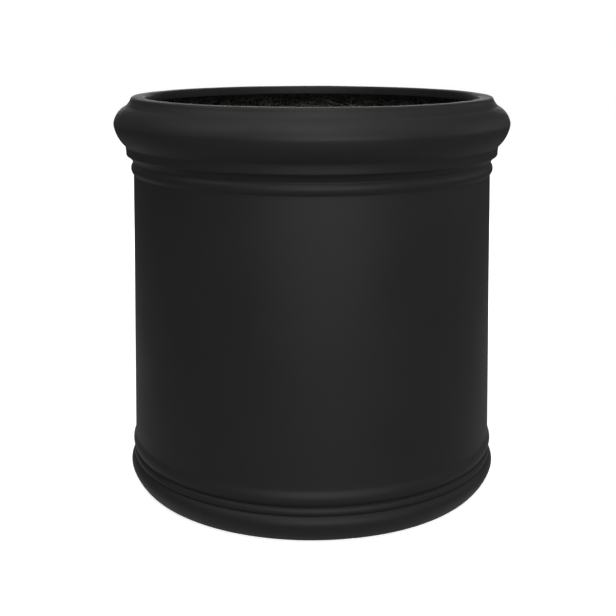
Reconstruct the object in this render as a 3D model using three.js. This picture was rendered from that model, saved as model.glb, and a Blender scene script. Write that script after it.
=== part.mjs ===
// Round floor planter moulded in black glass-fibre laminate: a straight body between a hollow
// rolled rim and a rolled base, a separate floor bonded in on the foot flange, rubber bungs in
// the drain holes and rubber pads under the foot.
// Millimetres, +Z up. The origin is on the ground, in the middle of the foot ring.

import * as THREE from 'three';

// ---- Overall sizes -------------------------------------------------------------------------
const planterWidth = 610; // across the rim roll, the widest place
const planterHeight = 610; // ground to the top of the lip
const wallThickness = 5; // laminate of the shell
const bodyFlare = 8.5; // what the body radius gains from under the rim to above the base
const fitGap = 0.3; // clearance between pieces that touch

// ---- Rim mouldings, in order down from the lip: heights, and projections beyond the body ----
const rollProjection = 28.5;
const lipProjection = 2.5;
const lipWidth = 21; // flat and rounded top edge, from the outside to the mouth
const lipRound = 5; // outer edge of the lip
const mouthRound = 3; // inner edge of the lip
const lipReturnDepth = 13.8; // smooth band that turns down inside the mouth
const neckHeight = 9; // steep, slightly hollow slope from the lip out to the roll
const neckProjection = 9.3;
const neckHollow = 0.4;
const rollUpperHeight = 26;
const rollUpperBow = 4.2;
const rollLowerHeight = 33;
const rollLowerBow = 3.5;
const bandHeight = 14; // nearly flat band under the roll
const bandProjection = 10.6; // at its lower edge
const bandLean = 1.2; // how much further its upper edge stands out
const bandHollow = 0.45;
const undersideHeight = 12.4; // hollow slope from the band back to the body
const undersideHollow = 1.6;
const rimBeadHeight = 17.3;
const rimBeadBow = 3.9;

// ---- Base mouldings, in order up from the ground ---------------------------------------------
const padThickness = 2.7; // what the rubber pads hold the foot above the ground
const footInset = 8; // outer edge of the flat foot, inside the bottom of the body
const baseRollLowerHeight = 25;
const baseRollLowerBow = 1.9;
const baseRollUpperHeight = 15;
const baseRollUpperBow = 2.9;
const baseRollProjection = 7.6;
const baseGrooveProjection = 0.6; // groove between the base roll and the thin bead
const thinBeadHeight = 12.5;
const thinBeadBow = 3.9;
const bodyGrooveInset = 1.7; // groove between the thin bead and the broad bead
const broadBeadHeight = 20.5;
const broadBeadBow = 3.7;
const beadCoveHeight = 5.5; // hollow that leads from the body out onto the broad bead
const beadCoveProjection = 1.6;
const beadCoveHollow = 0.3;
const footFlangeWidth = 38; // flat foot turned inwards, which carries the floor

// ---- Floor, bond, bungs and pads -----------------------------------------------------------
const floorThickness = 8;
const floorEntryClearance = 3; // the floor is let in through the mouth, so it is this much smaller
const bondWallLap = 4; // how far the bond runs up the straight wall above the hollow
const bondFloorLap = 15; // how far it laps onto the floor
const bondEdge = 2; // its thickness where it runs out
const bondCove = 10; // depth of its hollow face
const drainCount = 4;
const drainCircleRadius = 150;
const drainHoleRadius = 12.5;
const bungFlangeRadius = 19;
const bungFlangeThickness = 3.5;
const bungCrown = 1.2; // rise of the sloping flange top
const bungFlangeBow = 0.3; // and how far that slope swells
const bungTaper = 1.7; // what the stem loses in radius towards its tip
const bungTipLength = 3; // stem below the floor
const bungWaistRadius = 4.5;
const bungWaistHeight = 3;
const bungKnobRadius = 7.5;
const bungKnobHeight = 6;
const bungKnobDome = 0.8; // swell of the knob's rounded top
const bungKnobTaper = 1; // what the knob loses in radius towards its waist
const padCount = 6;
const padRadius = 14;
const padMargin = 8; // from the pads to the outer edge of the foot
const padChamfer = 0.6;

// ---- Smoothness ------------------------------------------------------------------------------
const ringSides = 60; // sides of every large ring, all alike so that rings nest
const smallSides = 16; // sides of bungs, pads and drain holes
const arcTolerance = 0.35; // how far a facet of an outline may leave its true arc

// ---- Levels and radii worked out from the sizes ----------------------------------------------
const rollRadius = planterWidth / 2;
const bodyTopRadius = rollRadius - rollProjection;
const bodyBaseRadius = bodyTopRadius + bodyFlare;
const lipRadius = bodyTopRadius + lipProjection;
const mouthRadius = lipRadius - lipWidth;
const footLevel = padThickness + fitGap;
const flangeTop = footLevel + wallThickness;
const flangeInnerRadius = bodyBaseRadius - footInset - footFlangeWidth;
const floorRadius = mouthRadius - floorEntryClearance;
const floorUnderside = flangeTop + fitGap;
const floorTop = floorUnderside + floorThickness;

const neckLevel = planterHeight - lipRound;
const shoulderLevel = neckLevel - neckHeight;
const rollLevel = shoulderLevel - rollUpperHeight;
const bandLevel = rollLevel - rollLowerHeight;
const undersideLevel = bandLevel - bandHeight;
const rimBeadLevel = undersideLevel - undersideHeight;
const bodyTopLevel = rimBeadLevel - rimBeadHeight;

const baseRollLevel = footLevel + baseRollLowerHeight;
const baseGrooveLevel = baseRollLevel + baseRollUpperHeight;
const bodyGrooveLevel = baseGrooveLevel + thinBeadHeight;
const broadBeadLevel = bodyGrooveLevel + broadBeadHeight;
const bodyBaseLevel = broadBeadLevel + beadCoveHeight;

const laminateBlack = { color: 0x262626, roughness: 0.5, metalness: 0 };
const rawLaminate = { color: 0x1b1b1a, roughness: 0.85, metalness: 0 };
const bungRubber = { color: 0x141414, roughness: 0.75, metalness: 0 };
const padRubber = { color: 0x1f1f1f, roughness: 0.8, metalness: 0 };

/** Outline in the (radius, height) plane, drawn corner by corner. A positive bow swells to the
 *  left of the direction of travel, a negative one to the right. */
class Outline {
  constructor(radius, height) {
    this.points = [new THREE.Vector2(radius, height)];
  }

  line(radius, height) {
    this.points.push(new THREE.Vector2(radius, height));
    return this;
  }

  /** Circular arc to the next corner; bow is its rise above the straight line between them. */
  arc(radius, height, bow) {
    const start = this.points[this.points.length - 1];
    const end = new THREE.Vector2(radius, height);
    const chord = end.clone().sub(start);
    const halfChord = chord.length() / 2;
    const out = new THREE.Vector2(-chord.y, chord.x).normalize();
    const arcRadius = (halfChord ** 2 + bow ** 2) / (2 * bow);
    const middle = start.clone().add(end).multiplyScalar(0.5);
    const centre = middle.addScaledVector(out, bow - arcRadius);
    const turn = -4 * Math.atan(bow / halfChord);
    const facetTurn = 2 * Math.acos(1 - arcTolerance / Math.abs(arcRadius));
    const steps = Math.ceil(Math.abs(turn) / facetTurn);
    for (let step = 1; step < steps; step += 1) {
      this.points.push(start.clone().rotateAround(centre, (turn * step) / steps));
    }
    this.points.push(end);
    return this;
  }

  /** Turns the outline about the Z axis. One that starts off the axis closes on itself. */
  revolve(sides) {
    const profile = [...this.points];
    if (THREE.ShapeUtils.isClockWise(profile)) profile.reverse();
    if (profile[0].x > 0) profile.push(profile[0].clone());
    return new THREE.LatheGeometry(profile, sides).rotateX(Math.PI / 2);
  }
}

/** Bow of a quarter circle of this radius. */
const quarterBow = (radius) => radius * (1 - Math.SQRT1_2);

function part(name, geometry, finish) {
  const mesh = new THREE.Mesh(geometry, new THREE.MeshStandardMaterial(finish));
  mesh.name = name;
  return mesh;
}

/** Places a copy of a small part on a circle round the axis. */
function onCircle(mesh, circleRadius, index, count) {
  const angle = (2 * Math.PI * (index + 0.5)) / count;
  mesh.position.set(circleRadius * Math.cos(angle), circleRadius * Math.sin(angle), 0);
  return mesh;
}

/** Inside of the shell's foot, from the flange top up the hollow behind the base roll to the
 *  wall. A larger inset gives the face of what is bonded against it. */
function footHollow(outline, inset) {
  const backing = bodyBaseRadius - wallThickness - inset; // behind the bottom of the body
  return outline
    .line(backing - footInset, flangeTop + inset)
    .arc(backing + baseRollProjection, baseRollLevel, -baseRollLowerBow)
    .line(backing + baseGrooveProjection, baseGrooveLevel)
    .line(backing - bodyGrooveInset, bodyGrooveLevel);
}

function wallShell() {
  const outline = new Outline(mouthRadius, planterHeight - mouthRound);
  // Outside, from the mouth over the lip and down.
  outline
    .arc(mouthRadius + mouthRound, planterHeight, quarterBow(mouthRound))
    .line(lipRadius - lipRound, planterHeight)
    .arc(lipRadius, neckLevel, quarterBow(lipRound))
    .arc(bodyTopRadius + neckProjection, shoulderLevel, -neckHollow)
    .arc(rollRadius, rollLevel, rollUpperBow)
    .arc(bodyTopRadius + bandProjection + bandLean, bandLevel, rollLowerBow)
    .arc(bodyTopRadius + bandProjection, undersideLevel, -bandHollow)
    .arc(bodyTopRadius, rimBeadLevel, -undersideHollow)
    .arc(bodyTopRadius, bodyTopLevel, rimBeadBow)
    .line(bodyBaseRadius, bodyBaseLevel)
    .arc(bodyBaseRadius + beadCoveProjection, broadBeadLevel, -beadCoveHollow)
    .arc(bodyBaseRadius - bodyGrooveInset, bodyGrooveLevel, broadBeadBow)
    .arc(bodyBaseRadius + baseGrooveProjection, baseGrooveLevel, thinBeadBow)
    .arc(bodyBaseRadius + baseRollProjection, baseRollLevel, baseRollUpperBow)
    .arc(bodyBaseRadius - footInset, footLevel, baseRollLowerBow)
    .line(flangeInnerRadius, footLevel)
    .line(flangeInnerRadius, flangeTop);
  // Inside, back up to the underside of the lip and down its return.
  footHollow(outline, 0);
  const bandBacking = bodyTopRadius + bandProjection - wallThickness;
  const undersideLength = Math.hypot(bandProjection, undersideHeight);
  const cornerRise = (wallThickness * (undersideLength - undersideHeight)) / bandProjection;
  const neckLength = Math.hypot(neckProjection - lipProjection, neckHeight);
  const neckWall = (wallThickness * neckLength) / neckHeight; // measured level
  const shoulderRun = 0.6 * wallThickness; // square to the corner of neck and roll
  const shoulderDrop = 0.8 * wallThickness;
  outline
    .line(bodyBaseRadius - wallThickness, bodyBaseLevel)
    .line(bodyTopRadius - wallThickness, rimBeadLevel + cornerRise)
    .arc(bandBacking, undersideLevel + cornerRise, undersideHollow)
    .line(bandBacking + bandLean, bandLevel)
    .arc(rollRadius - wallThickness, rollLevel, -rollLowerBow)
    .arc(bodyTopRadius + neckProjection - shoulderRun, shoulderLevel - shoulderDrop, -rollUpperBow)
    .line(lipRadius - neckWall, planterHeight - wallThickness)
    .line(mouthRadius + wallThickness, planterHeight - wallThickness)
    .line(mouthRadius + wallThickness, planterHeight - lipReturnDepth)
    .line(mouthRadius, planterHeight - lipReturnDepth);
  return part('wall_shell', outline.revolve(ringSides), laminateBlack);
}

/** Flat disc with the same corners as the rings, and round drain holes. */
function floorPanel() {
  const disc = new THREE.Shape();
  for (let side = 0; side < ringSides; side += 1) {
    const angle = (2 * Math.PI * side) / ringSides;
    const corner = [floorRadius * Math.cos(angle), floorRadius * Math.sin(angle)];
    if (side === 0) disc.moveTo(...corner);
    else disc.lineTo(...corner);
  }
  disc.closePath();
  for (let index = 0; index < drainCount; index += 1) {
    const centre = onCircle(new THREE.Object3D(), drainCircleRadius, index, drainCount).position;
    const hole = new THREE.Path();
    hole.absarc(centre.x, centre.y, drainHoleRadius, 0, 2 * Math.PI, true);
    disc.holes.push(hole);
  }
  const options = { depth: floorThickness, bevelEnabled: false, curveSegments: smallSides };
  const mesh = part('floor_panel', new THREE.ExtrudeGeometry(disc, options), rawLaminate);
  mesh.position.z = floorUnderside;
  return mesh;
}

/** Ring of resin and glass mat that fills the corner round the floor and laps onto both sides. */
function floorBond() {
  const bondRadius = bodyBaseRadius - bodyGrooveInset - wallThickness - fitGap;
  const bondFoot = floorTop + fitGap;
  const bondTop = bodyGrooveLevel + bondWallLap;
  const outline = new Outline(bondRadius, bondTop)
    .line(bondRadius - bondEdge, bondTop)
    .arc(floorRadius - bondFloorLap, bondFoot + bondEdge, bondCove)
    .line(floorRadius - bondFloorLap, bondFoot)
    .line(floorRadius + fitGap, bondFoot)
    .line(floorRadius + fitGap, flangeTop + fitGap);
  footHollow(outline, fitGap);
  return part('floor_bond', outline.revolve(ringSides), rawLaminate);
}

/** Rubber bung: a tapered stem in the drain hole, a domed flange and a knob to pull it by. */
function drainBung(index) {
  const seat = floorTop + fitGap;
  const flangeEdge = seat + bungFlangeThickness;
  const crown = flangeEdge + bungCrown;
  const knobFoot = crown + bungWaistHeight;
  const knobTop = knobFoot + bungKnobHeight;
  const stemRadius = drainHoleRadius - fitGap;
  const outline = new Outline(0, knobTop)
    .arc(bungKnobRadius, (knobFoot + knobTop) / 2, bungKnobDome)
    .line(bungKnobRadius - bungKnobTaper, knobFoot)
    .line(bungWaistRadius, knobFoot)
    .line(bungWaistRadius, crown)
    .arc(bungFlangeRadius, flangeEdge, bungFlangeBow)
    .line(bungFlangeRadius, seat)
    .line(stemRadius, seat)
    .line(stemRadius, floorUnderside)
    .line(stemRadius - bungTaper, floorUnderside - bungTipLength)
    .line(0, floorUnderside - bungTipLength);
  const mesh = part(`drain_bung_${index + 1}`, outline.revolve(smallSides), bungRubber);
  return onCircle(mesh, drainCircleRadius, index, drainCount);
}

/** Rubber pad stuck under the flat foot, far enough in to be hidden from the side. */
function footPad(index) {
  const outline = new Outline(0, padThickness)
    .line(padRadius, padThickness)
    .line(padRadius, padChamfer)
    .line(padRadius - padChamfer, 0)
    .line(0, 0);
  const mesh = part(`foot_pad_${index + 1}`, outline.revolve(smallSides), padRubber);
  const padCircleRadius = bodyBaseRadius - footInset - padMargin - padRadius;
  return onCircle(mesh, padCircleRadius, index, padCount);
}

const planter = new THREE.Group();
planter.add(wallShell(), floorPanel(), floorBond());
for (let index = 0; index < drainCount; index += 1) planter.add(drainBung(index));
for (let index = 0; index < padCount; index += 1) planter.add(footPad(index));

export default planter;
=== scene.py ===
# %% [markdown]
# # A black laminate planter on a white studio floor
# This lesson dresses a round floor planter. The real one is laid up by hand: black gelcoat is
# brushed into a mould, glass mat and resin go on behind it, and the outside comes out satin
# smooth while the inside keeps the marks of the mat. So the scene needs two very different
# surfaces on one wall, a soft studio light that shows the mouldings, and a camera that stands
# where the photographer stood.

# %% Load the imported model, which holds every piece at its real size and place
import math

import bmesh
import bpy
import numpy as np
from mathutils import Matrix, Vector


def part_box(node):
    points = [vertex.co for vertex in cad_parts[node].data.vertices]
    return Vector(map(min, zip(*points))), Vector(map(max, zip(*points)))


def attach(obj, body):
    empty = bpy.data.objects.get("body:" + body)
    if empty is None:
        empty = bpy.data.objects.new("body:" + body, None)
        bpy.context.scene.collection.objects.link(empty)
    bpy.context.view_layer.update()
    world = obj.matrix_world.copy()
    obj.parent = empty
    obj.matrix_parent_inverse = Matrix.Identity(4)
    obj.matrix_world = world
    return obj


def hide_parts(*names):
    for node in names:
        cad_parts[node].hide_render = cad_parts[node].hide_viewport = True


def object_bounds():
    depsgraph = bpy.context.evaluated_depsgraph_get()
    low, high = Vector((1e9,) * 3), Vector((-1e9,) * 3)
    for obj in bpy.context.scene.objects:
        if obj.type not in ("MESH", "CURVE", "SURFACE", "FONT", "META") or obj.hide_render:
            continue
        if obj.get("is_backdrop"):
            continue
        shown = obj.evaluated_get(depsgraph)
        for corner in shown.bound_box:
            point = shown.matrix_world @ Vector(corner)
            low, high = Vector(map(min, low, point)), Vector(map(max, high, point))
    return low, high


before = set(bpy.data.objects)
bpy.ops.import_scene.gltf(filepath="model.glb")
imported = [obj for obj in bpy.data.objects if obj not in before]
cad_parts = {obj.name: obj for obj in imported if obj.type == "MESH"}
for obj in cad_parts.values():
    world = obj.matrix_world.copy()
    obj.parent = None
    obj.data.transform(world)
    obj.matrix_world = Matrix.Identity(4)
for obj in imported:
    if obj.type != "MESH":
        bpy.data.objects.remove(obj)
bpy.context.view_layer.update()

MM = 0.001

# %% [markdown]
# ## The camera comes first
# The photograph was taken from just above the lip, close enough that the mouth is a thin
# ellipse while the foot is a wide one. A camera pitched 11 degrees down, with its frame slid
# down a little by a lens shift, gives both ellipses. The distance, height and focal length
# below are those of a pinhole camera that was fitted to the outline.

# %% Camera
CAMERA_DISTANCE = 1700.5 * MM    # from the planter's axis, along -Y
CAMERA_HEIGHT = 712.4 * MM
CAMERA_ASIDE = -6.0 * MM         # the axis stands a little right of the frame's middle
CAMERA_PITCH = math.radians(11)
FOCAL_IN_WIDTHS = 1.766          # focal length as a multiple of the frame's width
FRAME_SLIDE = -0.1117            # lens shift, as a part of the frame's width
SENSOR_WIDTH = 36

camera_data = bpy.data.cameras.new("studio_camera")
camera_data.sensor_width = SENSOR_WIDTH
camera_data.lens = FOCAL_IN_WIDTHS * SENSOR_WIDTH
camera_data.shift_y = FRAME_SLIDE
camera = bpy.data.objects.new("studio_camera", camera_data)
bpy.context.scene.collection.objects.link(camera)
camera.location = (CAMERA_ASIDE, -CAMERA_DISTANCE, CAMERA_HEIGHT)
camera.rotation_euler = (math.pi / 2 - CAMERA_PITCH, 0, 0)
bpy.context.scene.camera = camera
bpy.context.scene.view_settings.view_transform = "Standard"

# %% [markdown]
# ## Drawing outlines
# Nearly everything here is turned about an upright axis, so each shape starts as an outline in
# the plane of radius and height. Straight lines and circular arcs are enough. An arc is given
# by its end point and its bow, the rise of the arc over the straight line between its ends:
# that is how a moulding is measured with a profile gauge.

# %% Outlines from lines and arcs
OUTLINE_STEP = 0.25 * MM


def path(start, *corners):
    """Points every quarter millimetre along straight lines and arcs from start.

    A corner is (radius, height) for a line, or (radius, height, bow) for an arc. With half the
    chord c and bow b, the arc's radius is (c*c + b*b) / 2b and it turns by 4 atan(b / c). A
    positive bow swells to the left of the direction of travel.
    """
    runs = [np.array([start], float)]
    for radius, height, *bow in corners:
        first, last = runs[-1][-1], np.array([radius, height])
        chord = last - first
        half = np.hypot(*chord) / 2
        share = np.linspace(0, 1, max(2, int(2 * half / OUTLINE_STEP) + 2))[1:, None]
        if not bow:
            runs.append(first + chord * share)
            continue
        left = np.array([-chord[1], chord[0]]) / (2 * half)
        reach = (half**2 + bow[0] ** 2) / (2 * bow[0])
        centre = (first + last) / 2 + left * (bow[0] - reach)
        turn = -4 * math.atan(bow[0] / half) * share
        arm = first - centre
        runs.append(centre + np.cos(turn) * arm + np.sin(turn) * np.array([-arm[1], arm[0]]))
    return np.concatenate(runs)


def length_along(points):
    """Distance travelled along the outline at each of its points."""
    return np.concatenate([[0], np.cumsum(np.hypot(*np.diff(points, axis=0).T))])


def soften(points, radius):
    """Rounds every corner as a brushed-on coat does: a moving average, weighted by a bell of
    this radius, over points that are spaced evenly; the two ends stay where they are."""
    along = length_along(points)
    even = np.arange(0, along[-1], OUTLINE_STEP)
    even = np.append(even, along[-1])
    spaced = np.column_stack([np.interp(even, along, points[:, axis]) for axis in (0, 1)])
    reach = int(3 * radius / OUTLINE_STEP)
    bell = np.exp(-0.5 * (np.arange(-reach, reach + 1) * OUTLINE_STEP / radius) ** 2)
    bell /= bell.sum()
    before = 2 * spaced[0] - spaced[reach:0:-1]
    after = 2 * spaced[-1] - spaced[-2 : -reach - 2 : -1]
    padded = np.vstack([before, spaced, after])
    return np.column_stack([np.convolve(padded[:, axis], bell, "valid") for axis in (0, 1)])


def thin_out(points, widest_step, widest_turn):
    """Keeps few points on the straight and many on the bends: the points are spread evenly
    over the sum of length / widest_step and turn / widest_turn."""
    step = np.diff(points, axis=0)
    heading = np.unwrap(np.arctan2(step[:, 1], step[:, 0]))
    turn = np.abs(np.diff(heading, prepend=heading[0]))
    cost = np.hypot(*step.T) / widest_step + turn / widest_turn
    total = np.concatenate([[0], np.cumsum(cost)])
    wanted = np.linspace(0, total[-1], int(math.ceil(total[-1])) + 1)
    return np.column_stack([np.interp(wanted, total, points[:, axis]) for axis in (0, 1)])


# %% [markdown]
# ## From outline to surface
# A turned piece is a grid: one direction goes round the axis, the other along the outline.
# Working the whole grid out as numpy arrays keeps the code short, and it lets a relief be added
# to every point at once. The same function closes the grid to a ring, or ends it in a point on
# the axis, and checks by its volume that the faces look outwards.

# %% Grids to meshes
NEARLY_ZERO = 1e-9
MERGE_DISTANCE = 1e-6


def object_from(name, points, faces, uv=None):
    """A smooth-shaded object at the origin; uv, if given, is one (u, v) for each face corner."""
    mesh = bpy.data.meshes.new(name)
    mesh.from_pydata(points.tolist(), [], faces.tolist())
    mesh.polygons.foreach_set("use_smooth", np.ones(len(faces), bool))
    if uv is not None:
        layer = mesh.uv_layers.new(name="surface")
        layer.data.foreach_set("uv", uv.astype(np.float32).ravel())
    mesh.validate()
    mesh.update()
    made = bpy.data.objects.new(name, mesh)
    bpy.context.scene.collection.objects.link(made)
    return made


def signed_volume(points, faces):
    """Sum over the quads of the volume of the two tetrahedra they make with the origin."""
    a, b, c, d = (points[faces[:, corner]] for corner in range(4))
    return float((np.cross(a, b) * c + np.cross(a, c) * d).sum() / 6)


def grid_corners(bands, sides):
    """The (row, side) of each of the four corners of the grid's faces, in turn."""
    row, side = np.meshgrid(np.arange(bands), np.arange(sides), indexing="ij")
    return (row, side), (row, side + 1), (row + 1, side + 1), (row + 1, side)


def turned(name, outline, sides, relief=None, centre=(0, 0)):
    """Turns an outline about an upright axis through centre.

    Point (row i, side j) lies at angle 2 pi j / sides and at the outline's i-th radius and
    height. relief(angle, along) gives two distances that move it: across, square to the
    outline and to the right of the direction of travel, and onward, along the outline. An
    outline that starts and ends off the axis closes on itself. The uv map holds real metres:
    the way round at the widest radius, and the way along the outline.
    """
    closed = outline[0, 0] > NEARLY_ZERO
    rows = len(outline)
    angle = np.linspace(0, 2 * np.pi, sides, endpoint=False)
    along = length_along(outline)
    radius = np.repeat(outline[:, :1], sides, axis=1)
    height = np.repeat(outline[:, 1:], sides, axis=1)
    if relief is not None:
        heading = np.gradient(outline, along, axis=0)
        heading /= np.hypot(*heading.T)[:, None]
        across, onward = relief(angle[None, :], along[:, None])
        radius = radius + heading[:, 1:] * across + heading[:, :1] * onward
        height = height - heading[:, :1] * across + heading[:, 1:] * onward
    points = np.stack([radius * np.cos(angle), radius * np.sin(angle), height], axis=-1)
    points = points.reshape(-1, 3) + np.array([*centre, 0])
    corners = grid_corners(rows if closed else rows - 1, sides)
    faces = np.stack([(r % rows) * sides + s % sides for r, s in corners], axis=-1)
    faces = faces.reshape(-1, 4)
    ring = 2 * np.pi * outline[:, 0].max() / sides
    ends = np.append(along, along[-1] + np.hypot(*(outline[0] - outline[-1])))
    uv = np.stack([np.stack([s * ring, ends[r]], axis=-1) for r, s in corners], axis=2)
    uv = uv.reshape(-1, 4, 2)
    if signed_volume(points, faces) < 0:
        faces, uv = faces[:, ::-1], uv[:, ::-1]
    made = object_from(name, points, faces, uv)
    if not closed:
        weld(made)
    print(name, len(made.data.polygons), "faces")
    return made


def weld(piece, distance=MERGE_DISTANCE):
    """Merges points that lie on each other, so that a pole is one point of a closed surface."""
    work = bmesh.new()
    work.from_mesh(piece.data)
    bmesh.ops.remove_doubles(work, verts=work.verts, dist=distance)
    bmesh.ops.dissolve_degenerate(work, edges=work.edges, dist=distance / 10)
    work.to_mesh(piece.data)
    work.free()


# %% [markdown]
# ## The gelcoat shell
# The wall is 5 mm of laminate. Its outside follows the mould: a lip with a smooth band turned
# down inside the mouth, a hollow sweep out to the big roll, a flat band, a bead, the plain
# body, a broad bead, a thin bead, the base roll and the foot. The mould's corners are filled
# and waxed, so no edge is sharper than about a millimetre, and `soften` does the same here.

# %% Outline of the shell's outside
shell_low, shell_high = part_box("wall_shell")
LIP = shell_high.z
FOOT = shell_low.z
ROLL_RADIUS = shell_high.x
BODY_TOP = ROLL_RADIUS - 28.5 * MM
BODY_BASE = BODY_TOP + 8.5 * MM
WALL = 5 * MM
LIP_RADIUS = BODY_TOP + 2.5 * MM
MOUTH = LIP_RADIUS - 21 * MM
LIP_ROUND = 5 * MM
MOUTH_ROUND = 3 * MM
LIP_RETURN = 13.8 * MM
EDGE_SLOPE = 0.5 * MM                # the return's lower edge is trimmed a little askew
QUARTER_BOW = 1 - math.sqrt(0.5)     # bow of a quarter circle of radius 1

# radius and height of the points where the mouldings meet, rim first, then base
SHOULDER = (BODY_TOP + 9.3 * MM, LIP - LIP_ROUND - 9 * MM)
ROLL = (ROLL_RADIUS, SHOULDER[1] - 26 * MM)
BAND_TOP = (BODY_TOP + 11.8 * MM, ROLL[1] - 33 * MM)
BAND_FOOT = (BODY_TOP + 10.6 * MM, BAND_TOP[1] - 14 * MM)
RIM_BEAD_TOP = (BODY_TOP, BAND_FOOT[1] - 12.4 * MM)
BODY_START = (BODY_TOP, RIM_BEAD_TOP[1] - 17.3 * MM)

BASE_ROLL = (BODY_BASE + 7.6 * MM, FOOT + 25 * MM)
BASE_GROOVE = (BODY_BASE + 0.6 * MM, BASE_ROLL[1] + 15 * MM)
BODY_GROOVE = (BODY_BASE - 1.7 * MM, BASE_GROOVE[1] + 12.5 * MM)
BROAD_BEAD = (BODY_BASE + 1.6 * MM, BODY_GROOVE[1] + 20.5 * MM)
BODY_END = (BODY_BASE, BROAD_BEAD[1] + 5.5 * MM)
FOOT_EDGE = (BODY_BASE - 8 * MM, FOOT)
FLANGE_INNER = FOOT_EDGE[0] - 38 * MM

# bows of the arcs between them, from the lip to the foot
SWEEP_HOLLOW = 0.4 * MM
ROLL_UPPER_BOW = 4.2 * MM
ROLL_LOWER_BOW = 3.5 * MM
BAND_HOLLOW = 0.45 * MM
UNDERSIDE_HOLLOW = 1.6 * MM
RIM_BEAD_BOW = 3.9 * MM
FILLET_HOLLOW = 0.3 * MM
BROAD_BEAD_BOW = 3.7 * MM
THIN_BEAD_BOW = 3.9 * MM
BASE_ROLL_UPPER_BOW = 2.9 * MM
BASE_ROLL_LOWER_BOW = 1.9 * MM

outside = path(
    (MOUTH + WALL, LIP - LIP_RETURN + EDGE_SLOPE),
    (MOUTH, LIP - LIP_RETURN),
    (MOUTH, LIP - MOUTH_ROUND),
    (MOUTH + MOUTH_ROUND, LIP, QUARTER_BOW * MOUTH_ROUND),
    (LIP_RADIUS - LIP_ROUND, LIP),
    (LIP_RADIUS, LIP - LIP_ROUND, QUARTER_BOW * LIP_ROUND),
    (*SHOULDER, -SWEEP_HOLLOW),
    (*ROLL, ROLL_UPPER_BOW),
    (*BAND_TOP, ROLL_LOWER_BOW),
    (*BAND_FOOT, -BAND_HOLLOW),
    (*RIM_BEAD_TOP, -UNDERSIDE_HOLLOW),
    (*BODY_START, RIM_BEAD_BOW),
    BODY_END,
    (*BROAD_BEAD, -FILLET_HOLLOW),
    (*BODY_GROOVE, BROAD_BEAD_BOW),
    (*BASE_GROOVE, THIN_BEAD_BOW),
    (*BASE_ROLL, BASE_ROLL_UPPER_BOW),
    (*FOOT_EDGE, BASE_ROLL_LOWER_BOW),
    (FLANGE_INNER, FOOT),
    (FLANGE_INNER, FOOT + WALL),
    (FLANGE_INNER + WALL, FOOT + WALL),
)
CORNER_ROUND = 0.9 * MM
outside = thin_out(soften(outside, CORNER_ROUND), 12 * MM, math.radians(8.5))
print("outside outline:", len(outside), "points")

# %% [markdown]
# Behind the gelcoat the wall's own inner side is hidden by the rough lining made further on,
# so it needs only a few corners: up from the foot flange, behind the base roll, up the body,
# out into the hollow roll and back under the lip.

# %% Close the shell and turn it
SKIN = 3.5 * MM                      # the gelcoat and its first mats, in front of the lining
CORNER_RISE = 0.36                   # an inner corner lies this many insets above the outer one
SHOULDER_SHARES = (0.6, 0.8)         # parts of the inset, inwards and down, at the shoulder
LIP_SHARE = 1.25                     # part of the inset, inwards, at the lip's outer corner
HIDDEN_STEP = 60 * MM                # spacing of the points where nobody sees them
HIDDEN_TURN = math.radians(20)


def inner_side(inset):
    """Outline of the wall's inner side, this far inside the gelcoat, from the foot flange up
    to the inside of the lip."""
    inwards, down = SHOULDER_SHARES
    return path(
        (FOOT_EDGE[0] - inset, FOOT + WALL),
        (BASE_ROLL[0] - inset, BASE_ROLL[1], -BASE_ROLL_LOWER_BOW),
        (BASE_GROOVE[0] - inset, BASE_GROOVE[1]),
        (BODY_GROOVE[0] - inset, BODY_GROOVE[1]),
        (BODY_BASE - inset, BODY_END[1]),
        (BODY_TOP - inset, RIM_BEAD_TOP[1] + CORNER_RISE * inset),
        (BAND_FOOT[0] - inset, BAND_FOOT[1] + CORNER_RISE * inset, UNDERSIDE_HOLLOW),
        (BAND_TOP[0] - inset, BAND_TOP[1]),
        (ROLL[0] - inset, ROLL[1], -ROLL_LOWER_BOW),
        (SHOULDER[0] - inwards * inset, SHOULDER[1] - down * inset, -ROLL_UPPER_BOW),
        (LIP_RADIUS - LIP_SHARE * inset, LIP - inset),
        (MOUTH + WALL, LIP - inset),
    )


shell_back = thin_out(inner_side(SKIN), HIDDEN_STEP, HIDDEN_TURN)
BODY_WAVE = 0.10 * MM                # how true a hand-laid body comes out of its mould
TURNS_BELOW = 14                     # fewer waves than this round the ring


def waves(count, reach, seed):
    """A gentle, random relief of height about 1: a sum of cosines whose number of waves round
    the ring is whole, so it closes on itself, and whose waves along are longer than reach."""
    draw = np.random.default_rng(seed)
    around = draw.integers(1, TURNS_BELOW, count)
    upward = draw.uniform(-1, 1, count) * 2 * np.pi / reach
    start = draw.uniform(0, 2 * np.pi, count)

    def relief(angle, along):
        total = np.zeros(np.broadcast(angle, along).shape)
        for turns, slope, phase in zip(around, upward, start):
            total += np.cos(turns * angle + slope * along + phase)
        return total / math.sqrt(count)

    return relief


gentle = waves(16, 180 * MM, seed=4)
shell = turned(
    "gelcoat_shell",
    np.vstack([outside, shell_back]),
    sides=360,
    relief=lambda angle, along: (BODY_WAVE * gentle(angle, along), 0),
)

# %% [markdown]
# ## Chopped strands
# Behind the gelcoat lies chopped strand mat: bundles of glass 25 to 50 mm long, thrown down at
# random and wetted out with a roller, so the surface is a thicket of low ridges. Here each
# strand is a row of small drops on a raster map, in real metres. Where many strands cross, the
# resin levels them out, which a saturating curve gives: the height tends to a limit however
# many strands lie there.

# %% Strand maps
CELL = 1.5 * MM                      # raster cell, about the width of one strand
STRAND_LENGTH = (25 * MM, 50 * MM)
STRANDS_PER_M2 = 16000
STRAND_BEND = 0.12                   # spread of the bends; 1 would be a deep bow
STRAND_WEIGHT = (0.4, 1)             # thinnest and thickest
STRAND_BLUR = 0.8                    # in cells


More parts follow.
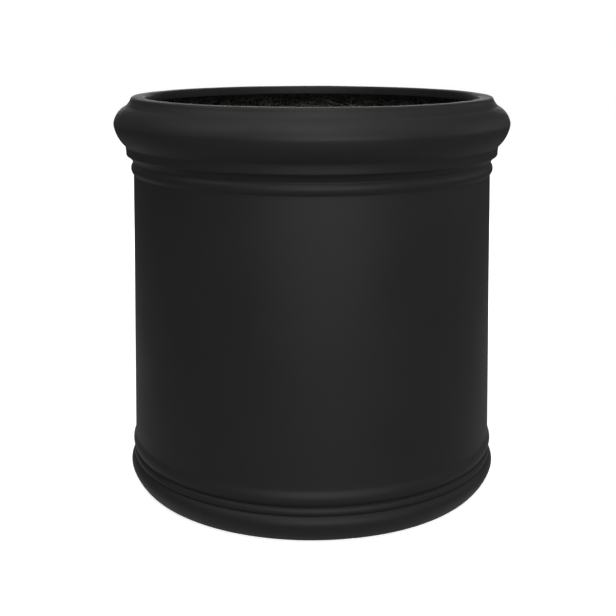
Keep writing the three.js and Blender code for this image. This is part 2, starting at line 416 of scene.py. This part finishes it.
def blurred(field, cells, wrap):
    """Bell-shaped blur of this many cells; wrap says which axes close on themselves."""
    reach = int(math.ceil(3 * cells))
    bell = np.exp(-0.5 * (np.arange(-reach, reach + 1) / cells) ** 2)
    bell /= bell.sum()
    for axis in (0, 1):
        pad = [(reach, reach) if axis == other else (0, 0) for other in (0, 1)]
        wide = np.pad(field, pad, mode="wrap" if wrap[axis] else "edge")
        length = field.shape[axis]
        parts = [weight * wide.take(range(at, at + length), axis) for at, weight in enumerate(bell)]
        field = sum(parts)
    return field


def strand_map(width, height, seed, wrap=True):
    """Relief between 0 and 1 of a mat of this size; wrap closes it on itself across width."""
    draw = np.random.default_rng(seed)
    count = int(width * height * STRANDS_PER_M2)
    middle = draw.uniform((0, 0), (width, height), (count, 2))
    heading = draw.uniform(0, np.pi, count)
    length = draw.uniform(*STRAND_LENGTH, count)
    bend = draw.normal(0, STRAND_BEND, count)
    drops = np.arange(-0.5, 0.5, CELL / STRAND_LENGTH[1])
    run = length[:, None] * drops
    sway = bend[:, None] * length[:, None] * (drops**2 - 1 / 12)
    x = middle[:, :1] + run * np.cos(heading)[:, None] - sway * np.sin(heading)[:, None]
    y = middle[:, 1:] + run * np.sin(heading)[:, None] + sway * np.cos(heading)[:, None]
    columns, rows = int(round(width / CELL)), int(round(height / CELL))
    column = np.floor(x / CELL).astype(int)
    column = column % columns if wrap else np.clip(column, 0, columns - 1)
    row = np.clip(np.floor(y / CELL).astype(int), 0, rows - 1)
    amount = np.zeros((rows, columns))
    weight = np.repeat(draw.uniform(*STRAND_WEIGHT, count)[:, None], len(drops), axis=1)
    np.add.at(amount, (row, column), weight)
    amount = blurred(amount, STRAND_BLUR, (False, wrap))
    return 1 - np.exp(-amount / amount.mean())


def read_map(field, x, y):
    """Bilinear reading of a strand map at points given in metres."""
    rows, columns = field.shape
    at_x, at_y = np.broadcast_arrays(x / CELL - 0.5, np.clip(y / CELL - 0.5, 0, rows - 1.001))
    left, low = np.floor(at_x).astype(int), np.floor(at_y).astype(int)
    over, up = at_x - left, at_y - low
    left, right = left % columns, (left + 1) % columns
    lower = field[low, left] * (1 - over) + field[low, right] * over
    upper = field[low + 1, left] * (1 - over) + field[low + 1, right] * over
    return lower * (1 - up) + upper * up


# %% [markdown]
# ## The rough lining
# The lining is the last mat on the wall. It is laid in pieces whose edges lap over each other,
# and it can't follow sharp corners, so its outline is softened far more than the gelcoat's.
# It runs from behind the floor bond up to the underside of the lip.

# %% Lining of the wall
LINING_RELIEF = 1.1 * MM             # from the lowest resin to the highest strand
LINING_WAVE = 0.5 * MM
LINING_ROUND = 3 * MM                # how far the mat rounds off the corners
LINING_FADE = 6 * MM                 # the relief dies out over this length at both ends
LINING_OVERLAP = 0.3 * MM            # the lining's back reaches this far into the shell
LINING_SIDES = 540
LINING_FOOT = BASE_ROLL[1]
MAT_LAPS = (0.0, 1.62, 3.05, 4.71)   # angles, in radians, at which one mat laps over the next
LAP_RELIEF = 0.4 * MM                # the doubled mat, pressed flat with the roller
LAP_REACH = 0.09                     # half the lap's width, in radians
LAP_WANDER = 0.012                   # how far its edges wander, in radians

face = soften(inner_side(WALL), LINING_ROUND)
face = face[face[:, 1] > LINING_FOOT]
face = thin_out(face, 4.2 * MM, math.radians(14))
back = thin_out(inner_side(SKIN - LINING_OVERLAP), HIDDEN_STEP, HIDDEN_TURN)
back = back[back[:, 1] > LINING_FOOT]
face_length = length_along(face)[-1]
mat_width = 2 * np.pi * BODY_TOP
wall_strands = strand_map(mat_width, face_length, seed=11)
wall_waves = waves(20, 90 * MM, seed=12)
lap_edge = waves(10, 40 * MM, seed=13)


def lining_relief(angle, along):
    """Strands, slow waves of thickness and a rise at each lap, all fading out at both ends."""
    towards_axis = LINING_RELIEF * read_map(wall_strands, angle / (2 * np.pi) * mat_width, along)
    towards_axis = towards_axis + LINING_WAVE * wall_waves(angle, along)
    ragged = LAP_WANDER * lap_edge(0 * angle, along * 3)
    for lap in MAT_LAPS:
        offset = (angle - lap - ragged + np.pi) % (2 * np.pi) - np.pi
        towards_axis = towards_axis + LAP_RELIEF * np.exp(-((offset / LAP_REACH) ** 4))
    room = np.minimum(along, face_length - along) / LINING_FADE
    return -towards_axis * np.clip(room, 0, 1), 0


lining = turned(
    "laminate_lining",
    np.vstack([face, back[::-1]]),
    sides=LINING_SIDES,
    relief=lining_relief,
)

# %% [markdown]
# ## The bond round the floor
# The floor is let in through the mouth, laid on the foot flange, and bonded with resin and
# strips of mat pressed into the corner. The strips leave a hollow cove with ragged edges, on
# the wall and on the floor.

# %% Floor bond
panel_low, panel_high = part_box("floor_panel")
bond_low, bond_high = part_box("floor_bond")
FIT_GAP = 0.3 * MM
FLOOR_RADIUS = panel_high.x
BOND_WALL = BODY_GROOVE[0] - WALL - FIT_GAP
BOND_EDGE = 2 * MM                   # thickness of the mat at both edges of the cove
BOND_EDGE_BOW = 0.4 * MM
BOND_BEVEL = (0.5 * MM, 1 * MM)      # inwards and down, from the top edge into the cove
BOND_BEVEL_BOW = 0.2 * MM
BOND_FLOOR_EDGE = FLOOR_RADIUS - 15 * MM
BOND_COVE = 10 * MM
BOND_SEAT = panel_high.z + FIT_GAP
BOND_WAVE = 0.7 * MM
BOND_WANDER = 2.2 * MM               # how far the edge on the floor strays
BOND_WANDER_MOST = 2.5 * MM
MAP_MARGIN = 20 * MM                 # how far the strand map reaches past the cove

cove = path(
    (BOND_WALL, bond_high.z - BOND_EDGE),
    (BOND_WALL - BOND_EDGE, bond_high.z, -BOND_EDGE_BOW),
    (BOND_WALL - BOND_EDGE - BOND_BEVEL[0], bond_high.z - BOND_BEVEL[1], -BOND_BEVEL_BOW),
    (BOND_FLOOR_EDGE + BOND_EDGE, BOND_SEAT + BOND_EDGE, BOND_COVE),
    (BOND_FLOOR_EDGE, BOND_SEAT, BOND_EDGE_BOW),
)
cove = thin_out(soften(cove, 0.8 * MM), 2 * MM, math.radians(12))
hidden_side = path(
    (FLOOR_RADIUS + FIT_GAP, BOND_SEAT),
    (FLOOR_RADIUS + FIT_GAP, bond_low.z),
    (FOOT_EDGE[0] - WALL - FIT_GAP, bond_low.z),
    (BASE_ROLL[0] - WALL - FIT_GAP, BASE_ROLL[1], -BASE_ROLL_LOWER_BOW),
    (BASE_GROOVE[0] - WALL - FIT_GAP, BASE_GROOVE[1]),
    (BOND_WALL, BODY_GROOVE[1]),
)
hidden_side = thin_out(hidden_side, HIDDEN_STEP / 2, HIDDEN_TURN)
cove_length = length_along(cove)[-1]
bond_strands = strand_map(mat_width, cove_length + MAP_MARGIN, seed=21)
bond_edge = waves(24, 1, seed=22)
bond_waves = waves(20, 30 * MM, seed=23)


def bond_relief(angle, along):
    """Strands and waves on the cove; its edge on the floor wanders by a few millimetres."""
    share = np.clip(along / cove_length, 0, 1)
    on_cove = (along <= cove_length) * np.sin(np.pi * share) ** 0.5
    strands = read_map(bond_strands, angle / (2 * np.pi) * mat_width, along)
    towards_axis = (LINING_RELIEF * strands + BOND_WAVE * bond_waves(angle, along)) * on_cove
    wander = BOND_WANDER * bond_edge(4 * angle, 0 * along) * (along <= cove_length) * share**6
    return towards_axis, np.minimum(wander, BOND_WANDER_MOST)


bond = turned(
    "floor_bond_cove",
    np.vstack([cove, hidden_side]),
    sides=480,
    relief=bond_relief,
)

# %% [markdown]
# ## The floor and its drain holes
# The floor is a flat disc with four round holes. A grid that is bent from each hole's rim out
# to the edge of its quarter of the disc keeps the holes truly round and the mesh even: from
# the hole's centre every direction meets the quarter's edge exactly once.

# %% Floor panel
HOLE_RADIUS = 12.5 * MM
HOLE_CENTRE = 150 * MM * math.sqrt(0.5)       # x and y of the hole between +X and +Y
HOLE_EDGE = 0.8 * MM                 # how wide the hole saw wears its upper edge
HOLE_LOWER_EDGE = 0.5 * MM
FLOOR_MAT = 600 * MM                 # width of the mat laid over the floor
FLOOR_RELIEF = 0.9 * MM
FLOOR_LEVEL = 0.6                    # the part of the relief that lies at the floor's own height
UNDER_BOND = 2 * MM                  # the floor is flat this far in from its rim
BOND_FADE = 4 * MM
HOLE_FADE = 3                        # rows round the hole over which the relief rises
QUARTER_SIDES = 260
EDGE_SHARES = (0.28, 0.44, 0.28)     # of the points, on the X axis, the rim and the Y axis
TOP_SHARES = np.linspace(0, 1, 40) ** 1.15    # rows on the top, closer together at the hole


def quarter_reach(direction):
    """Distance from the hole's centre to the edge of its quarter disc, in each direction.

    The quarter lies between the +X and +Y axes. With the centre at (c, c) and the direction
    (cos a, sin a), the axes are met at -c / cos a and -c / sin a, and the rim at the positive
    root of |centre + t direction| = FLOOR_RADIUS.
    """
    along_x, along_y = np.cos(direction), np.sin(direction)
    middle = HOLE_CENTRE * (along_x + along_y)
    reach = -middle + np.sqrt(middle**2 + FLOOR_RADIUS**2 - 2 * HOLE_CENTRE**2)
    for slope in (along_x, along_y):
        to_axis = -HOLE_CENTRE / np.minimum(slope, -NEARLY_ZERO)
        reach = np.minimum(reach, np.where(slope < -NEARLY_ZERO, to_axis, np.inf))
    return reach


def quarter_directions(count):
    """Directions spread evenly along the quarter's edge, with its three corners among them."""
    corners = [(0, 0), (FLOOR_RADIUS, 0), (0, FLOOR_RADIUS)]
    ends = [math.atan2(y - HOLE_CENTRE, x - HOLE_CENTRE) for x, y in corners]
    ends.append(ends[0] + 2 * np.pi)
    pieces = [
        np.linspace(start, stop, int(count * share), endpoint=False)
        for start, stop, share in zip(ends, ends[1:], EDGE_SHARES)
    ]
    return np.concatenate(pieces)


def quarter_rows():
    """Share of the reach, distance from the hole's centre and height of each row of points: in
    along the underside, up the hole's wall and out along the top."""
    bottom, upper = panel_low.z, panel_high.z
    chamfer = HOLE_RADIUS + HOLE_EDGE / 2
    wall = np.linspace(bottom + HOLE_LOWER_EDGE, upper - HOLE_EDGE, 5)
    rows = [(share, chamfer, bottom) for share in np.linspace(1, 0, 9)]
    rows += [(0, HOLE_RADIUS, height) for height in wall]
    rows += [(share, HOLE_RADIUS + HOLE_EDGE, upper) for share in TOP_SHARES]
    return rows


def quarter_points():
    """Points of the quarter between +X and +Y, as rows x directions x 3."""
    direction = quarter_directions(QUARTER_SIDES)
    reach = quarter_reach(direction)
    points = []
    for share, start, height in quarter_rows():
        distance = start + share * (reach - start)
        x = HOLE_CENTRE + distance * np.cos(direction)
        y = HOLE_CENTRE + distance * np.sin(direction)
        points.append(np.stack([x, y, np.full(len(direction), height)], axis=-1))
    return np.stack(points)


def raise_strands(points, strands):
    """Lifts the top rows by the strand map, but not under the bond and not at the hole's rim."""
    top = points[-len(TOP_SHARES) :]
    from_bond = FLOOR_RADIUS - UNDER_BOND - np.hypot(top[..., 0], top[..., 1])
    bare = np.clip(from_bond / BOND_FADE, 0, 1)
    off_hole = np.clip(np.arange(len(TOP_SHARES)) / HOLE_FADE, 0, 1)[:, None]
    relief = read_map(strands, top[..., 0] + FLOOR_MAT / 2, top[..., 1] + FLOOR_MAT / 2)
    top[..., 2] += FLOOR_RELIEF * (relief - FLOOR_LEVEL) * bare * off_hole


def quarter_faces(points):
    """Quads between the rows, and the disc's edge between the last row and the first."""
    rows, sides = points.shape[:2]
    corners = grid_corners(rows - 1, sides)
    faces = np.stack([r * sides + s % sides for r, s in corners], axis=-1).reshape(-1, 4)
    on_rim = np.hypot(points[-1, :, 0], points[-1, :, 1]) > FLOOR_RADIUS - 0.01 * MM
    first = np.flatnonzero(on_rim & np.roll(on_rim, -1))
    after = (first + 1) % sides
    last = (rows - 1) * sides
    return np.vstack([faces, np.stack([last + first, last + after, after, first], axis=-1)])


def whole_floor():
    """Four quarters, each turned by a right angle from the last, under one mat of strands."""
    strands = strand_map(FLOOR_MAT, FLOOR_MAT, seed=31, wrap=False)
    quarter = quarter_points()
    all_points, all_faces, count = [], [], 0
    for cos, sin in ((1, 0), (0, 1), (-1, 0), (0, -1)):
        points = quarter @ np.array([[cos, sin, 0], [-sin, cos, 0], [0, 0, 1]])
        raise_strands(points, strands)
        all_points.append(points.reshape(-1, 3))
        all_faces.append(quarter_faces(points) + count)
        count += len(all_points[-1])
    points, faces = np.vstack(all_points), np.vstack(all_faces)
    if signed_volume(points, faces) < 0:
        faces = faces[:, ::-1]
    made = object_from("floor_disc", points, faces)
    weld(made, 2 * MERGE_DISTANCE)
    print("floor_disc", len(made.data.polygons), "faces")
    return made


floor_disc = whole_floor()

# %% [markdown]
# ## Drain bungs
# Each hole is closed by a soft rubber bung: a tapered stem, a domed flange that lies on the
# floor, and a knob to pull it by. Rubber mouldings have no sharp edges at all.

# %% Bungs
FLANGE_RADIUS = 19 * MM
FLANGE_THICKNESS = 3.5 * MM
FLANGE_BOW = 0.5 * MM
DOME_RISE = 1.2 * MM
NECK_HEIGHT = 3 * MM
NECK_RADIUS, NECK_FOOT_RADIUS = 4.5 * MM, 5 * MM
NECK_HOLLOW = 0.6 * MM
NECK_TOP_FILLET, NECK_FOOT_FILLET = 0.3 * MM, 0.2 * MM
KNOB_RADIUS, KNOB_FOOT_RADIUS = 7.5 * MM, 6.5 * MM
KNOB_TOP_BOW, KNOB_SIDE_BOW = 0.9 * MM, 0.4 * MM
STEM_RADIUS = HOLE_RADIUS - FIT_GAP
STEM_TAPER = 1.7 * MM
RUBBER_ROUND = 0.45 * MM


def middle_of(low, high):
    """Where the upright axis of a piece stands."""
    return (low.x + high.x) / 2, (low.y + high.y) / 2


def bung_outline(low, high):
    """Outline from the knob's top down to the stem's tip, on the axis at both ends."""
    flange_edge = BOND_SEAT + FLANGE_THICKNESS
    crown = flange_edge + DOME_RISE
    knob_foot = crown + NECK_HEIGHT
    outline = path(
        (0, high.z),
        (KNOB_RADIUS, (knob_foot + high.z) / 2, KNOB_TOP_BOW),
        (KNOB_FOOT_RADIUS, knob_foot, KNOB_SIDE_BOW),
        (NECK_RADIUS, knob_foot - NECK_TOP_FILLET),
        (NECK_FOOT_RADIUS, crown + NECK_FOOT_FILLET, -NECK_HOLLOW),
        (FLANGE_RADIUS, flange_edge, FLANGE_BOW),
        (FLANGE_RADIUS, BOND_SEAT, FLANGE_BOW),
        (STEM_RADIUS, BOND_SEAT),
        (STEM_RADIUS, panel_low.z),
        (STEM_RADIUS - STEM_TAPER, low.z),
        (0, low.z),
    )
    rounded = soften(outline, RUBBER_ROUND)
    rounded[0, 0] = rounded[-1, 0] = 0
    return thin_out(rounded, 2.5 * MM, math.radians(12))


bungs = []
for number in range(1, 5):
    low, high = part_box(f"drain_bung_{number}")
    outline, middle = bung_outline(low, high), middle_of(low, high)
    bungs.append(turned(f"bung_{number}_rubber", outline, sides=72, centre=middle))

# %% [markdown]
# ## Foot pads
# Six rubber discs are stuck under the foot, so that it doesn't scratch the ground and so that
# water can run out from under it.

# %% Pads
PAD_RADIUS = 14 * MM
PAD_TOP_ROUND, PAD_TOP_BOW = 0.3 * MM, 0.1 * MM
PAD_FOOT_ROUND, PAD_FOOT_BOW = 0.6 * MM, 0.17 * MM

pads = []
for number in range(1, 7):
    low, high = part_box(f"foot_pad_{number}")
    outline = path(
        (0, high.z),
        (PAD_RADIUS - PAD_TOP_ROUND, high.z),
        (PAD_RADIUS, high.z - PAD_TOP_ROUND, PAD_TOP_BOW),
        (PAD_RADIUS, PAD_FOOT_ROUND),
        (PAD_RADIUS - PAD_FOOT_ROUND, 0, PAD_FOOT_BOW),
        (0, 0),
    )
    outline = thin_out(outline, 4 * MM, HIDDEN_TURN)
    pads.append(turned(f"pad_{number}_rubber", outline, sides=64, centre=middle_of(low, high)))

# %% [markdown]
# ## Materials: one small helper
# Every material is a handful of shader nodes, and one function adds a node with its settings
# and its links. Colours are written as they look on a screen, in sRGB hex, and turned to the
# linear values that light needs.

# %% Node helper and colours
def linear(colour):
    """sRGB hex, such as "#262626", to linear red, green, blue and alpha 1."""
    parts = [int(colour[at : at + 2], 16) / 255 for at in (1, 3, 5)]
    return [c / 12.92 if c <= 0.04045 else ((c + 0.055) / 1.055) ** 2.4 for c in parts] + [1]


def add(tree, kind, sockets=None, **settings):
    """Adds a shader node. A socket takes a number, a colour or another node's output."""
    made = tree.nodes.new("ShaderNode" + kind)
    for name, value in settings.items():
        setattr(made, name, value)
    for name, value in (sockets or {}).items():
        if isinstance(value, bpy.types.NodeSocket):
            tree.links.new(value, made.inputs[name])
        else:
            made.inputs[name].default_value = value
    return made


def new_material(name):
    """An empty material and its node tree."""
    made = bpy.data.materials.new(name)
    made.use_nodes = True
    made.node_tree.nodes.clear()
    return made, made.node_tree


def finish_material(tree, surface):
    """Links a shader to the material's output."""
    add(tree, "OutputMaterial", {"Surface": surface})


# %% [markdown]
# ## Satin black gelcoat
# Gelcoat is polyester resin with pigment, index of refraction about 1.5. It leaves a polished
# mould glossy, but planters are rubbed down and sprayed to an even satin. Its pits are wide
# enough to spread the highlight and deep enough to swallow part of it, so the roughness is high
# and the specular level low. Close up there is a fine orange peel, 2 to 3 mm from crest to
# crest, and the satin is never quite even.

# %% Gelcoat material
def satin_gelcoat():
    """Black resin whose tone and satin drift a little, under a fine orange peel."""
    made, tree = new_material("satin_black_gelcoat")
    place = add(tree, "TexCoord").outputs["Object"]
    cloud = add(tree, "TexNoise", {"Vector": place, "Scale": 9, "Detail": 3})
    tone = add(
        tree,
        "MixRGB",
        {"Fac": cloud.outputs["Fac"], "Color1": linear("#181818"), "Color2": linear("#1c1c1c")},
    )
    spread = {"From Min": 0.3, "From Max": 0.7, "To Min": 0.48, "To Max": 0.56}
    satin = add(tree, "MapRange", {"Value": cloud.outputs["Fac"], **spread})
    peel = add(tree, "TexNoise", {"Vector": place, "Scale": 1 / (2.5 * MM), "Detail": 1})
    relief = add(
        tree,
        "Bump",
        {"Height": peel.outputs["Fac"], "Strength": 0.12, "Distance": 0.1 * MM},
    )
    shader = add(
        tree,
        "BsdfPrincipled",
        {
            "Base Color": tone.outputs["Color"],
            "Roughness": satin.outputs["Result"],
            "IOR": 1.5,
            "Specular IOR Level": 0.16,
            "Normal": relief.outputs["Normal"],
        },
    )
    finish_material(tree, shader.outputs["BSDF"])
    return made


# %% [markdown]
# ## Raw laminate
# The back of a black laminate is pigmented resin over glass, so it is nearly black too, but
# rough and a little wet-looking: every strand catches a small glint. Strands lie in all
# directions, so the bump is the highest of six patterns, each a noise stretched twelve times
# along its own direction. The same pattern paints the ridges paler, a painted highlight, and
# the resin between them darker, a painted shade.

# %% Raw laminate material
STRAND_WIDTH = 1.3 * MM
STRAND_STRETCH = 12
DIRECTIONS = 6


def raw_laminate(name, coordinates, roughness):
    """Black resin over strands. coordinates says what carries the pattern: "Object", or the
    name of a uv map in metres."""
    made, tree = new_material(name)
    if coordinates == "Object":
        place = add(tree, "TexCoord").outputs["Object"]
    else:
        place = add(tree, "UVMap", uv_map=coordinates).outputs["UV"]
    highest = None
    for number in range(DIRECTIONS):
        turn = number * math.pi / DIRECTIONS
        turned_place = add(tree, "Mapping", {"Vector": place, "Rotation": (0, 0, turn)})
        stretched = add(
            tree,
            "Mapping",
            {
                "Vector": turned_place.outputs["Vector"],
                "Location": (0.37 * number, 0.61 * number, 0),
                "Scale": (1 / STRAND_STRETCH, 1, 1),
            },
        )
        strands = add(
            tree,
            "TexNoise",
            {"Vector": stretched.outputs["Vector"], "Scale": 0.4 / STRAND_WIDTH, "Detail": 1},
        ).outputs["Fac"]
        if highest is not None:
            strands = add(tree, "Math", {0: highest, 1: strands}, operation="MAXIMUM").outputs[0]
        highest = strands
    ridge = add(
        tree, "MapRange", {"Value": highest, "From Min": 0.55, "From Max": 0.78}
    ).outputs["Result"]
    # painted highlight and painted shade: the strand pattern that drives the bump also paints the
    # ridges paler and the resin between them darker
    tone = add(
        tree, "MixRGB", {"Fac": ridge, "Color1": linear("#050505"), "Color2": linear("#4a4a46")}
    )
    gloss = add(
        tree,
        "MapRange",
        {"Value": ridge, "To Min": roughness - 0.1, "To Max": roughness + 0.1},
    )
    relief = add(tree, "Bump", {"Height": ridge, "Strength": 1, "Distance": 0.7 * MM})
    shader = add(
        tree,
        "BsdfPrincipled",
        {
            "Base Color": tone.outputs["Color"],
            "Roughness": gloss.outputs["Result"],
            "IOR": 1.55,
            "Normal": relief.outputs["Normal"],
        },
    )
    finish_material(tree, shader.outputs["BSDF"])
    return made


# %% [markdown]
# ## Rubber
# The bungs are natural rubber filled with carbon black, with the faint grey bloom that rubber
# gets. The pads are a harder, greyer compound with a fine moulded grain.

# %% Rubber materials
def rubber(name, dark, pale, roughness, grain):
    """Rubber between a dark and a pale tone, with a grain of this size."""
    made, tree = new_material(name)
    place = add(tree, "TexCoord").outputs["Object"]
    bloom = add(tree, "TexNoise", {"Vector": place, "Scale": 1 / (9 * MM), "Detail": 4})
    tone = add(
        tree,
        "MixRGB",
        {"Fac": bloom.outputs["Fac"], "Color1": linear(dark), "Color2": linear(pale)},
    )
    fine = add(tree, "TexNoise", {"Vector": place, "Scale": 1 / grain, "Detail": 2})
    relief = add(
        tree,
        "Bump",
        {"Height": fine.outputs["Fac"], "Strength": 0.35, "Distance": 0.1 * MM},
    )
    shader = add(
        tree,
        "BsdfPrincipled",
        {
            "Base Color": tone.outputs["Color"],
            "Roughness": roughness,
            "IOR": 1.52,
            "Normal": relief.outputs["Normal"],
        },
    )
    finish_material(tree, shader.outputs["BSDF"])
    return made


# %% [markdown]
# ## Dressing the pieces
# Each piece takes its material, rides the body it belongs to, and stands in for its plain
# counterpart in the model.

# %% Materials, bodies and the parts they replace
def dress(piece, material, body, node):
    """Gives a piece its material and the body it rides, and hides the part it replaces."""
    piece.data.materials.append(material)
    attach(piece, body)
    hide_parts(node)


gelcoat = satin_gelcoat()
wall_laminate = raw_laminate("raw_black_laminate", "surface", 0.3)
floor_laminate = raw_laminate("raw_black_floor_laminate", "Object", 0.5)
bung_rubber = rubber("black_bung_rubber", "#101010", "#191919", 0.62, 0.8 * MM)
pad_rubber = rubber("grey_pad_rubber", "#1c1c1c", "#262626", 0.75, 0.5 * MM)
dress(shell, gelcoat, "planter", "wall_shell")
dress(lining, wall_laminate, "planter", "wall_shell")
dress(bond, wall_laminate, "planter", "floor_bond")
dress(floor_disc, floor_laminate, "planter", "floor_panel")
for number, bung in enumerate(bungs, start=1):
    dress(bung, bung_rubber, f"bung_{number}", f"drain_bung_{number}")
for number, pad in enumerate(pads, start=1):
    dress(pad, pad_rubber, "planter", f"foot_pad_{number}")

# %% [markdown]
# ## The studio
# The planter stands on a white floor in a white room. The floor's paint shows the planter's soft
# shadow, and a glow for the camera alone, which grows with the distance from the planter, lets
# the floor run into the white room without a horizon. What the planter gets back from the floor
# is a pool of light that fades with the distance, so its edges stay dark.

# %% Floor and room
FLOOR_SIZE = 12
FLOOR_DROP = 0.2 * MM                # the floor lies this far under the pads
FLOOR_LIGHT_NEAR, FLOOR_LIGHT_FAR = 0.48, 0.06    # what the floor sends to the planter
FLOOR_LIGHT_REACH = 2.9
ROOM_LIGHT = 0.16
GLOW_NEAR, GLOW_FAR = 0.72, 1.0      # what the camera sees besides the paint
GLOW_FROM, GLOW_TO = 0.5, 1.3        # distances from the planter between which the glow grows


def studio_floor():
    """White paint that glows for the camera and sends a pool of light to everything else."""
    made, tree = new_material("white_studio_floor")
    rays = add(tree, "LightPath")
    place = add(tree, "TexCoord").outputs["Object"]
    away = add(tree, "VectorMath", {0: place}, operation="LENGTH").outputs["Value"]
    glow = add(
        tree,
        "MapRange",
        {
            "Value": away,
            "From Min": GLOW_FROM,
            "From Max": GLOW_TO,
            "To Min": GLOW_NEAR,
            "To Max": GLOW_FAR,
        },
    )
    paint = add(tree, "BsdfDiffuse", {"Color": linear("#e6e6e6")})
    shown = add(tree, "Emission", {"Color": (1, 1, 1, 1), "Strength": glow.outputs["Result"]})
    seen = add(tree, "AddShader")
    tree.links.new(paint.outputs[0], seen.inputs[0])
    tree.links.new(shown.outputs[0], seen.inputs[1])
    pool = add(
        tree,
        "MapRange",
        {
            "Value": away,
            "From Max": FLOOR_LIGHT_REACH,
            "To Min": FLOOR_LIGHT_NEAR,
            "To Max": FLOOR_LIGHT_FAR,
        },
    )
    sent = add(tree, "Emission", {"Color": (1, 1, 1, 1), "Strength": pool.outputs["Result"]})
    chosen = add(tree, "MixShader", {"Fac": rays.outputs["Is Camera Ray"]})
    tree.links.new(sent.outputs[0], chosen.inputs[1])
    tree.links.new(seen.outputs[0], chosen.inputs[2])
    finish_material(tree, chosen.outputs[0])
    return made


half = FLOOR_SIZE / 2
corners = [(-half, -half), (half, -half), (half, half), (-half, half)]
floor_corners = np.array([(x, y, -FLOOR_DROP) for x, y in corners])
floor = object_from("studio_floor", floor_corners, np.array([[0, 1, 2, 3]]))
floor.data.materials.append(studio_floor())
floor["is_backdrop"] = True


def studio_world():
    """A dim room for light, and a white one for the camera."""
    world = bpy.data.worlds.new("studio_world")
    bpy.context.scene.world = world
    world.use_nodes = True
    tree = world.node_tree
    tree.nodes.clear()
    seen = add(tree, "LightPath").outputs["Is Camera Ray"]
    strength = add(tree, "MapRange", {"Value": seen, "To Min": ROOM_LIGHT, "To Max": 1})
    shader = add(
        tree, "Background", {"Color": (1, 1, 1, 1), "Strength": strength.outputs["Result"]}
    )
    add(tree, "OutputWorld", {"Surface": shader.outputs[0]})


studio_world()

# %% [markdown]
# ## Soft boxes
# A wide, low box in front draws the broad, faint streak down the body. The boxes above it
# light the tops of the mouldings, the side boxes keep the edges from sinking, and the low one
# behind is mirrored in the flat of the lip alone, as a thin bright line. Their powers were found
# by rendering each box alone and mixing the pictures until the sum looked like the photograph.
# Together they light the planter so that a mid grey would come out as it is written.

# %% Lamps
AIM = Vector((0, 0, 0.35))           # every lamp faces this point, a little above the middle
SOFT_BOXES = [
    # name, turn, rise, distance, width, height, power
    ("front_low_box", 8, 13, 2.2, 2.0, 1.0, 33),
    ("front_high_box", 2, 55, 2.2, 1.1, 1.1, 17),
    ("left_high_box", -65, 45, 2.2, 1.0, 1.0, 10),
    ("right_high_box", 65, 45, 2.2, 1.0, 1.0, 4),
    ("right_box", 95, 15, 2.4, 2.4, 1.2, 7),
    ("top_box", 0, 88, 2.2, 1.6, 1.6, 13),
    ("back_high_box", 180, 45, 2.6, 2.0, 1.2, 6),
    ("back_low_box", 180, 11, 2.6, 2.4, 0.5, 12),
]


def soft_box(name, turn, rise, distance, width, height, power):
    """A rectangular lamp that faces the planter and isn't seen by the camera.

    turn is the angle from the camera's side towards +X, and rise the angle over the horizon,
    both in degrees; power is in watts and the lengths are in metres.
    """
    turn, rise = math.radians(turn), math.radians(rise)
    away = (math.sin(turn) * math.cos(rise), -math.cos(turn) * math.cos(rise), math.sin(rise))
    lamp = bpy.data.lights.new(name, "AREA")
    lamp.shape = "RECTANGLE"
    lamp.size, lamp.size_y = width, height
    lamp.energy = power
    made = bpy.data.objects.new(name, lamp)
    bpy.context.scene.collection.objects.link(made)
    made.location = AIM + distance * Vector(away)
    made.rotation_mode = "QUATERNION"
    made.rotation_quaternion = (-Vector(away)).to_track_quat("-Z", "Y")
    made.visible_camera = False


for box in SOFT_BOXES:
    soft_box(*box)

# %% The bounds of everything that renders, floor left out, and finish
low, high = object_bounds()
